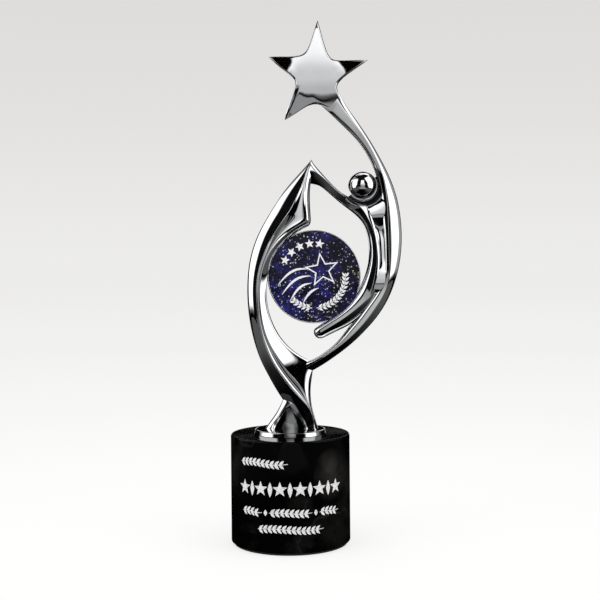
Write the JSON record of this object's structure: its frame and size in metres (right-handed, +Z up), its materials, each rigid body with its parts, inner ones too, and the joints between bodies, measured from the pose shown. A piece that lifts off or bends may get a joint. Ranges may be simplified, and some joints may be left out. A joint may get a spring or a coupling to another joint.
{
  "type": "column trophy",
  "caption": "Desk trophy: a black stone drum carrying a bright metal sculpture of a curved sweep and a figure that raises a star and frames a round medallion.",
  "frame": {"origin": "centre of the resting face, under the round stone drum", "axes": "+Z up along the drum's axis, +X to the right seen from the front, the front with the printed medallion faces -Y"},
  "size_m": [0.0945, 0.065, 0.2853],
  "materials": {
    "black_marble": "polished",
    "pad": "matt foam",
    "chrome": "mirror polished plating",
    "zinc_steel": "zinc plated",
    "glitter_print": "gloss over metallic glitter"
  },
  "bodies": {
    "root": {"stone_base": "black_marble", "base_pad": "pad", "flange_disc": "chrome", "threaded_rod": "zinc_steel", "flat_washer": "zinc_steel", "lock_washer": "zinc_steel", "hex_nut": "zinc_steel", "left_sweep": "chrome", "right_figure": "chrome", "star": "chrome", "star_pin": "zinc_steel", "head_ball": "chrome", "head_pin": "zinc_steel", "medallion_holder": "chrome", "medallion_insert": "glitter_print", "medallion_pins": "zinc_steel"}
  },
  "joints": []
}
